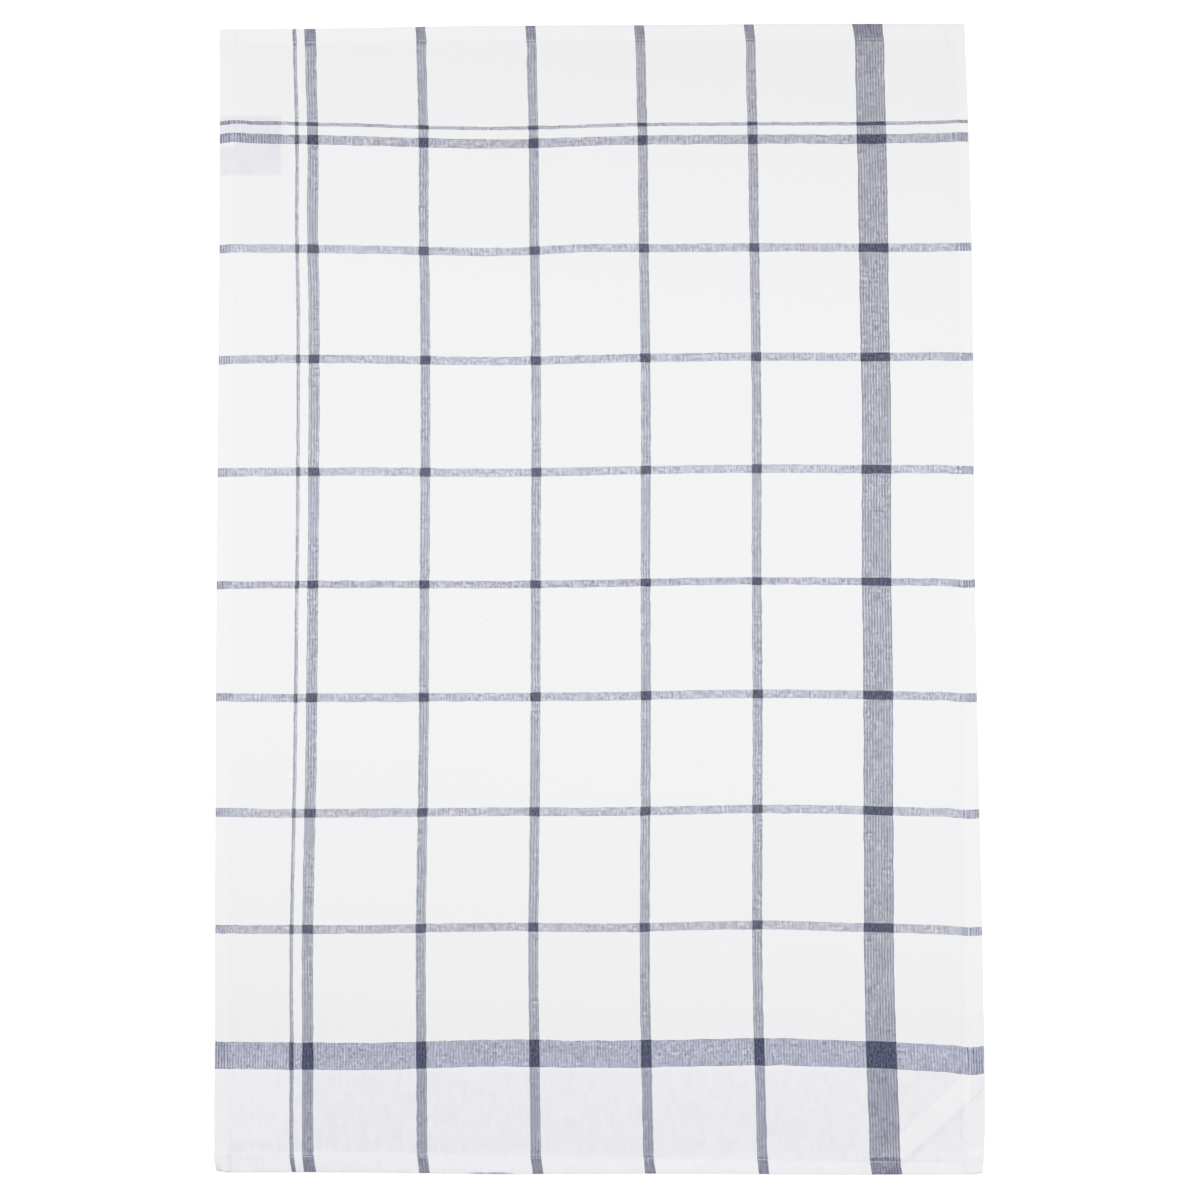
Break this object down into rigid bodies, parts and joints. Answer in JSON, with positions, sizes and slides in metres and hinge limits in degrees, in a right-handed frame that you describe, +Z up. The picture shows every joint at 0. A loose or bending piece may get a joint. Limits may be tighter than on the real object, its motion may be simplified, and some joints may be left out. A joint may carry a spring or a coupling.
{
  "type": "tea towel",
  "caption": "Flat woven cotton tea towel with a windowpane check, turned hems on all sides, a blank care label and a hanging tape across one corner.",
  "frame": {"origin": "middle of the towel on the surface it lies on", "axes": "+X across the width, +Y along the length towards the end by the care label, +Z up out of the face"},
  "size_m": [0.5023, 0.7623, 0.0033],
  "materials": {
    "woven_cotton": "plain weave, matt, white with yarn-dyed grey-blue checks",
    "label_satin": "satin woven label tape, blank",
    "twill_tape": "herringbone cotton tape, matt"
  },
  "bodies": {
    "root": {"cloth": "woven_cotton", "care_label": "label_satin", "hanging_tape": "twill_tape"}
  },
  "joints": []
}
